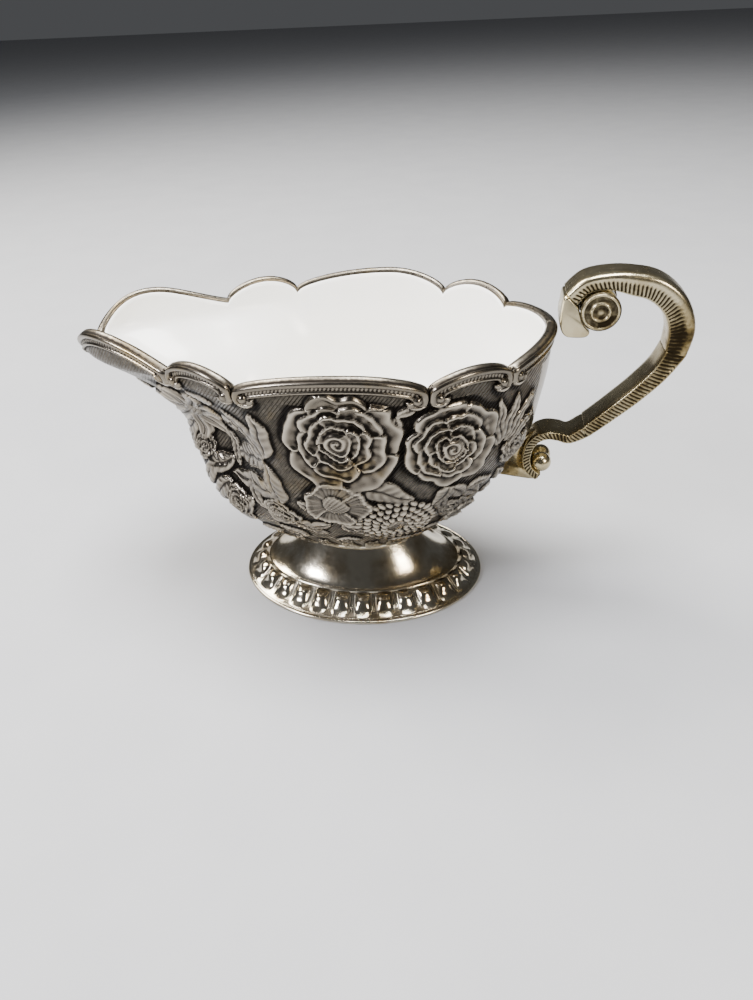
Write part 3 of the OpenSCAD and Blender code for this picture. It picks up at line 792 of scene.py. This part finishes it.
def socket():
    """The block that joins the handle to the rim: its outline drawn in with rounded faces."""
    line, _ = handle_line(ARCH_LINE)
    way = (line[1, :2] - line[0, :2]) / np.linalg.norm(line[1, :2] - line[0, :2])
    out = np.array([-way[1], way[0]])
    inner = line[0, :2] - out * line[0, 2] / 2
    outer = line[0, :2] + out * line[0, 2] / 2
    outline = rounded(np.array([[0, 3.2], [4.6, 2.9], [5.8, 3.3], [6.2, 4.1], [5.6, 4.9], [4.3, 6.3],
                                [3.7, 8.4], inner, outer, [0, 10.8]]))
    depth = np.sin(np.linspace(-np.pi / 2, np.pi / 2, 25))
    bulge = np.sqrt(np.maximum(0, 1 - np.abs(depth) ** 5))
    centre = np.array([2.2, 7.0])
    loops = []
    for d, keep in zip(depth, bulge):
        keep = 0.86 + 0.14 * keep
        ring = centre + (outline - centre) * keep
        ring[:, 0] = np.where(outline[:, 0] < 0.02, outline[:, 0], ring[:, 0])
        across = np.full(len(ring), d * HANDLE_W * 0.48)
        loops.append(np.stack([SOCKET_X + ring[:, 0], across, RIM_Z + ring[:, 1]], -1))
    return carried("handle_socket_block", np.array(loops), ["handle_socket"], flip=True)


def web():
    """The plain web behind the lower curl: a flat piece with rounded faces, following both edges."""
    line, _ = handle_line(CURL_LINE, 0.8)
    way = np.gradient(line[:, :2], axis=0)
    way /= np.linalg.norm(way, axis=1, keepdims=True)
    out = np.stack([-way[:, 1], way[:, 0]], -1)
    edge = line[:, :2] - out * (line[:, 2][:, None] / 2)
    start = int(len(line) * 0.42)
    curl = edge[start:]
    heights = RIM_Z + np.linspace(-30.6, -20.6, len(curl))
    keel = bowl_wall(np.full(len(curl), 180.0), heights)[:, 0] - SOCKET_X + 0.02
    keel = np.stack([keel, heights - RIM_Z], -1)
    tail = np.array([[-0.6, -31.6], [-2.6, -31.9], [-5.0, -31.6]])
    outline = rounded(np.concatenate([keel, curl, tail]), 2)
    depth = np.array([-1, -0.8, -0.4, 0, 0.4, 0.8, 1]) * 1.5
    centre = outline.mean(0)
    loops = [np.stack([SOCKET_X + o[:, 0], np.full(len(o), d), RIM_Z + o[:, 1]], -1)
             for d in depth for o in [centre + (outline - centre) * (1 - 0.06 * (abs(d) / 1.5) ** 4)]]
    return carried("curl_web", np.array(loops), ["handle_web"])


def volutes():
    """The core of the upper scroll and the ringed roundel on each side of it."""
    x, z = SOCKET_X + VOLUTE_CENTRE[0], RIM_Z + VOLUTE_CENTRE[1]
    r, proud = 3.9, 0.8
    half = HANDLE_W / 2
    core = np.array([[0.5, -half], [r - 0.3, -half], [r - 0.3, half], [0.5, half]])
    pieces = [turned("volute_roll", core, (x, z), ["volute_core"])]
    t = np.linspace(0, 1, 90)
    ring = 0.8 * np.exp(-((t - 0.86) / 0.075) ** 4) + 0.9 * np.exp(-((t - 0.44) / 0.09) ** 2)
    rise = 0.28 + 0.55 * np.clip(ring, 0, 1) + 0.18 * np.exp(-(t / 0.16) ** 2) - 0.2 * smooth(t, 0.95, 1)
    profile = np.stack([0.02 + (r - 0.02) * t, half + proud * rise], -1)
    profile = np.concatenate([profile, [[r, half]]])[::-1]
    raised = np.interp(profile[:, 0] / r, t, ring + 0.9 * np.exp(-(t / 0.16) ** 2))
    # The grooves between the roundel's rings are painted darker: oxidation and painted shade.
    dark = np.clip(1.25 - 1.2 * raised, 0, 1) * 0.5
    dark = np.repeat(dark[:, None], 64, 1)
    for word, side in (("near", -1), ("far", 1)):
        pieces.append(turned(f"{word}_volute_ringed", profile, (x, z), [f"{word}_volute_roundel"],
                             side=side, attributes={"oxide_and_shade": dark}))
    return pieces


def ball():
    """Two round knobs on a short bar at the end of the lower curl."""
    x, z = SOCKET_X + BALL_CENTRE[0], RIM_Z + BALL_CENTRE[1]
    r = 2.2
    q = np.linspace(0.02, math.pi - 0.7, 20)
    reach = HANDLE_W / 2 - r + 0.2
    knob = np.stack([r * np.sin(q), reach + r * np.cos(q)], -1)[::-1]
    other = np.stack([knob[::-1, 0], -knob[::-1, 1]], -1)
    profile = np.concatenate([other, knob])
    profile = profile[np.argsort(profile[:, 1])]
    return turned("curl_knobs", profile, (x, z), ["curl_ball"])


# ---- Materials ------------------------------------------------------------------------------

def linear(hex_colour):
    """An sRGB hex colour as linear RGBA."""
    values = [int(hex_colour[i:i + 2], 16) / 255 for i in (1, 3, 5)]
    return [v / 12.92 if v <= 0.04045 else ((v + 0.055) / 1.055) ** 2.4 for v in values] + [1.0]


def add(tree, kind, settings=None, links=None):
    """A shader node with its settings and links. Settings are inputs by name or number, or attributes."""
    made = tree.nodes.new("ShaderNode" + kind)
    for key, value in (settings or {}).items():
        if isinstance(key, int) or key in made.inputs:
            made.inputs[key].default_value = value
        else:
            setattr(made, key, value)
    for key, source in (links or {}).items():
        tree.links.new(source, made.inputs[key])
    return made


def blank_material(name):
    """A material with nothing in it, and its tree."""
    material = bpy.data.materials.new(name)
    material.use_nodes = True
    material.node_tree.nodes.clear()
    return material, material.node_tree


def plated_silver(name, bright, dull, tarnish, oxide_and_shade_colour, rough, tarnish_share, hatched=False, stains=0.0):
    """Silver plate over a cast base: bright on high places from wear and painted highlights, black in
    the hollows from oxidation and painted shade.

    One attribute says how deep a place lies and is painted dark, another how far it is rubbed and
    painted bright. A slow noise lays yellow tarnish over the metal, and a fine one breaks up the
    polish as rubbed wear does. The ground between the flowers is cut with slanting lines 0.6 mm
    apart, drawn as bump.
    """
    material, tree = blank_material(name)
    place = add(tree, "TexCoord").outputs["Object"]
    oxide_and_shade = add(tree, "Attribute", {"attribute_name": "oxide_and_shade"}).outputs["Fac"]
    cloud = add(tree, "TexNoise", {"Scale": 90.0, "Detail": 5.0, "Roughness": 0.6},
                {"Vector": place}).outputs["Fac"]
    speck = add(tree, "TexNoise", {"Scale": 900.0, "Detail": 4.0, "Roughness": 0.65},
                {"Vector": place}).outputs["Fac"]
    yellow = add(tree, "MapRange",
                 {"From Min": 0.62 - tarnish_share, "From Max": 0.8 - tarnish_share / 2}, {"Value": cloud})
    # The dull-to-bright mix paints highlights and wear onto the raised places.
    wear_and_painted_light = add(tree, "Attribute", {"attribute_name": "wear_and_painted_light"}).outputs["Fac"]
    grey = add(tree, "Mix", {"data_type": "RGBA", 6: linear(dull), 7: linear(bright)}, {0: wear_and_painted_light})
    metal = add(tree, "Mix", {"data_type": "RGBA", 7: linear(tarnish)},
                {0: yellow.outputs[0], 6: grey.outputs[2]})
    rubbed = add(tree, "Math", {"operation": "MULTIPLY_ADD", 1: 0.5, 2: -0.25}, {0: speck})
    deep = add(tree, "Math", {"operation": "ADD"}, {0: oxide_and_shade, 1: rubbed.outputs[0]})
    stain = add(tree, "Math", {"operation": "MULTIPLY_ADD", 1: stains, 2: -0.55 * stains},
                {0: cloud})
    stained = add(tree, "Math", {"operation": "MAXIMUM", 1: 0.0}, {0: stain.outputs[0]})
    total = add(tree, "Math", {"operation": "ADD"}, {0: deep.outputs[0], 1: stained.outputs[0]})
    # This mix paints oxidation and shade black into the hollows.
    black = add(tree, "MapRange",
                {"From Min": 0.08, "From Max": 0.6, "interpolation_type": "SMOOTHSTEP"},
                {"Value": total.outputs[0]}).outputs[0]
    colour = add(tree, "Mix", {"data_type": "RGBA", 7: linear(oxide_and_shade_colour)},
                 {0: black, 6: metal.outputs[2]})
    polish = add(tree, "MapRange", {"To Min": rough, "To Max": rough + 0.14}, {"Value": speck})
    matt = add(tree, "Math", {"operation": "MULTIPLY_ADD", 1: 0.3},
               {0: black, 2: polish.outputs[0]})
    cast = add(tree, "Bump", {"Strength": 0.12, "Distance": 0.0002}, {"Height": speck})
    normal = cast.outputs["Normal"]
    if hatched:
        plain = add(tree, "Attribute", {"attribute_name": "plain"}).outputs["Fac"]
        slanted = add(tree, "Mapping", {"Rotation": (0.0, math.radians(-38), 0.0)},
                      {"Vector": place})
        # A wave of scale 1 repeats every 2 pi / 20 of a metre.
        lines = add(tree, "TexWave",
                    {"Scale": 2 * math.pi / 20 / (HATCH_GAP * MM), "Distortion": 1.2, "Detail": 2.0,
                     "Detail Scale": 2.0, "bands_direction": "X"},
                    {"Vector": slanted.outputs[0]}).outputs["Fac"]
        ground = add(tree, "Math", {"operation": "SUBTRACT", 0: 1.0}, {1: plain})
        cut = add(tree, "Math", {"operation": "MULTIPLY"}, {0: lines, 1: ground.outputs[0]})
        hatch = add(tree, "Bump", {"Strength": 0.9, "Distance": 0.00025},
                    {"Height": cut.outputs[0], "Normal": normal})
        normal = hatch.outputs["Normal"]
    shader = add(tree, "BsdfPrincipled", {"Metallic": 1.0},
                 {"Base Color": colour.outputs[2], "Roughness": matt.outputs[0], "Normal": normal})
    add(tree, "OutputMaterial", None, {"Surface": shader.outputs[0]})
    return material


def fired_enamel(name):
    """White enamel, fired glossy: near-white glass whose shine varies slightly from place to place."""
    material, tree = blank_material(name)
    place = add(tree, "TexCoord").outputs["Object"]
    cloud = add(tree, "TexNoise", {"Scale": 25.0, "Detail": 3.0}, {"Vector": place})
    tint = add(tree, "Mix", {"data_type": "RGBA", 6: linear("#f8f6ef"), 7: linear("#fcfcfa")},
               {0: cloud.outputs["Fac"]})
    gloss = add(tree, "MapRange", {"To Min": 0.14, "To Max": 0.24}, {"Value": cloud.outputs["Fac"]})
    shader = add(tree, "BsdfPrincipled", {"IOR": 1.5},
                 {"Base Color": tint.outputs[2], "Roughness": gloss.outputs[0]})
    add(tree, "OutputMaterial", None, {"Surface": shader.outputs[0]})
    return material


def floor_material():
    """A plain pale floor with a faint unevenness."""
    material, tree = blank_material("pale_floor")
    place = add(tree, "TexCoord").outputs["Object"]
    grain = add(tree, "TexNoise", {"Scale": 40.0, "Detail": 4.0}, {"Vector": place})
    tint = add(tree, "Mix", {"data_type": "RGBA", 6: linear("#9fa0a3"), 7: linear("#a9aaac")},
               {0: grain.outputs["Fac"]})
    shader = add(tree, "BsdfPrincipled", {"Roughness": 0.85}, {"Base Color": tint.outputs[2]})
    add(tree, "OutputMaterial", None, {"Surface": shader.outputs[0]})
    return material


def dress(pieces, material):
    """Put one material on each piece."""
    for piece in pieces:
        piece.data.materials.clear()
        piece.data.materials.append(material)


# ---- Make the jug ---------------------------------------------------------------------------

# Grey silver on the flowers with painted highlights and wear on their edges, nearly black between them
# from oxidation and painted shade. The dull colour is kept dark as a painted reflection of dark
# surroundings.
chased = plated_silver("oxidised_silver_plate_painted_light", "#aea595", "#5d574e", "#85734f", "#1b1815", 0.15, 0.05,
                       hatched=True)
# The same metal, a little browner where hands hold the rim.
rim = plated_silver("rim_silver_plate", "#a89f8f", "#5f594f", "#85734f", "#1b1815", 0.17, 0.08,
                    hatched=True)
# The foot's mirror polish, warm, with brown stains left in places.
polished = plated_silver("polished_silver_plate", "#d8cfba", "#b8ae9a", "#a08a60", "#2a2118", 0.08, 0.16,
                         stains=1.2)
# The handle has gone yellow with tarnish and has the darkest stains.
tarnished = plated_silver("tarnished_silver_plate", "#c2b797", "#8d8264", "#8a774c", "#2b2418", 0.18, 0.2,
                       stains=2.2)
white = fired_enamel("fired_white_enamel")

dress(bowl_halves(), chased)
dress(rim_scrolls(), rim)
dress([enamel_bowl()], white)
dress([foot_dome(), foot_collar(), gadroon_border(), base_flange()], polished)
handle = [ribbon("upper_scroll_ribbed", ARCH_LINE, None, ARCH_END, ["handle_upper_scroll"], 0.1, 0.25),
          ribbon("lower_arm_ribbed", ARM_LINE, ARCH_END, CORNER_WAY, ["handle_lower_arm"], 0.42, 0.3),
          ribbon("lower_curl_ribbed", CURL_LINE, CORNER_WAY, None, ["handle_lower_curl"], 0.42, 0.3),
          socket(), web(), ball()]
dress(handle + volutes(), tarnished)


# ---- Floor, light and camera ----------------------------------------------------------------

def stage():
    """A wide pale floor, a soft key light from the window side, a fill and a top light."""
    mesh = bpy.data.meshes.new("floor")
    size = 3.0
    corners = [(-size, -size, 0), (size, -size, 0), (size, size, 0), (-size, size, 0)]
    mesh.from_pydata(corners, [], [(0, 1, 2, 3)])
    floor = bpy.data.objects.new("floor", mesh)
    bpy.context.scene.collection.objects.link(floor)
    mesh.materials.append(floor_material())
    world = bpy.data.worlds.new("studio")
    world.use_nodes = True
    world.node_tree.nodes["Background"].inputs[0].default_value = linear("#9a9ca0")
    world.node_tree.nodes["Background"].inputs[1].default_value = 0.22
    bpy.context.scene.world = world
    lights = (("window", (-0.38, 0.16, 0.55), 9.0, 0.3, "#fffaf2"),
              ("window_left", (-0.45, -0.35, 0.4), 4.5, 0.14, "#f6f6ff"),
              ("fill", (0.45, -0.4, 0.35), 2.5, 0.16, "#fff4e4"),
              ("top", (0.03, 0.0, 0.8), 17.0, 0.4, "#ffffff"))
    for name, spot, power, width, tint in lights:
        lamp = bpy.data.lights.new(name, "AREA")
        lamp.energy = power
        lamp.size = width
        lamp.color = linear(tint)[:3]
        holder = bpy.data.objects.new(name, lamp)
        holder.location = spot
        aim = Vector((0, 0, 0.04)) - Vector(spot)
        holder.rotation_euler = aim.to_track_quat("-Z", "Y").to_euler()
        bpy.context.scene.collection.objects.link(holder)


def camera():
    """A camera at the viewing angle: turned, raised and tipped a little, with a wide lens."""
    azimuth, elevation, tip = math.radians(9.22), math.radians(34.58), math.radians(-2.93)
    distance, across, up = 193.8, 3.33, 16.36
    level = math.cos(elevation)
    back = Vector((math.sin(azimuth) * level, -math.cos(azimuth) * level, math.sin(elevation)))
    right = Vector((0, 0, 1)).cross(back).normalized()
    above = back.cross(right)
    side = right * math.cos(tip) + above * math.sin(tip)
    top = above * math.cos(tip) - right * math.sin(tip)
    place = (back * distance + side * across + top * up + Vector(FOOT_MIDDLE)) * MM
    data = bpy.data.cameras.new("camera")
    data.sensor_width = 36.0
    data.lens = 27.0
    data.clip_start = 0.005
    holder = bpy.data.objects.new("camera", data)
    holder.matrix_world = Matrix.Translation(place) @ Matrix((side, top, back)).transposed().to_4x4()
    bpy.context.scene.collection.objects.link(holder)
    bpy.context.scene.camera = holder


stage()
camera()
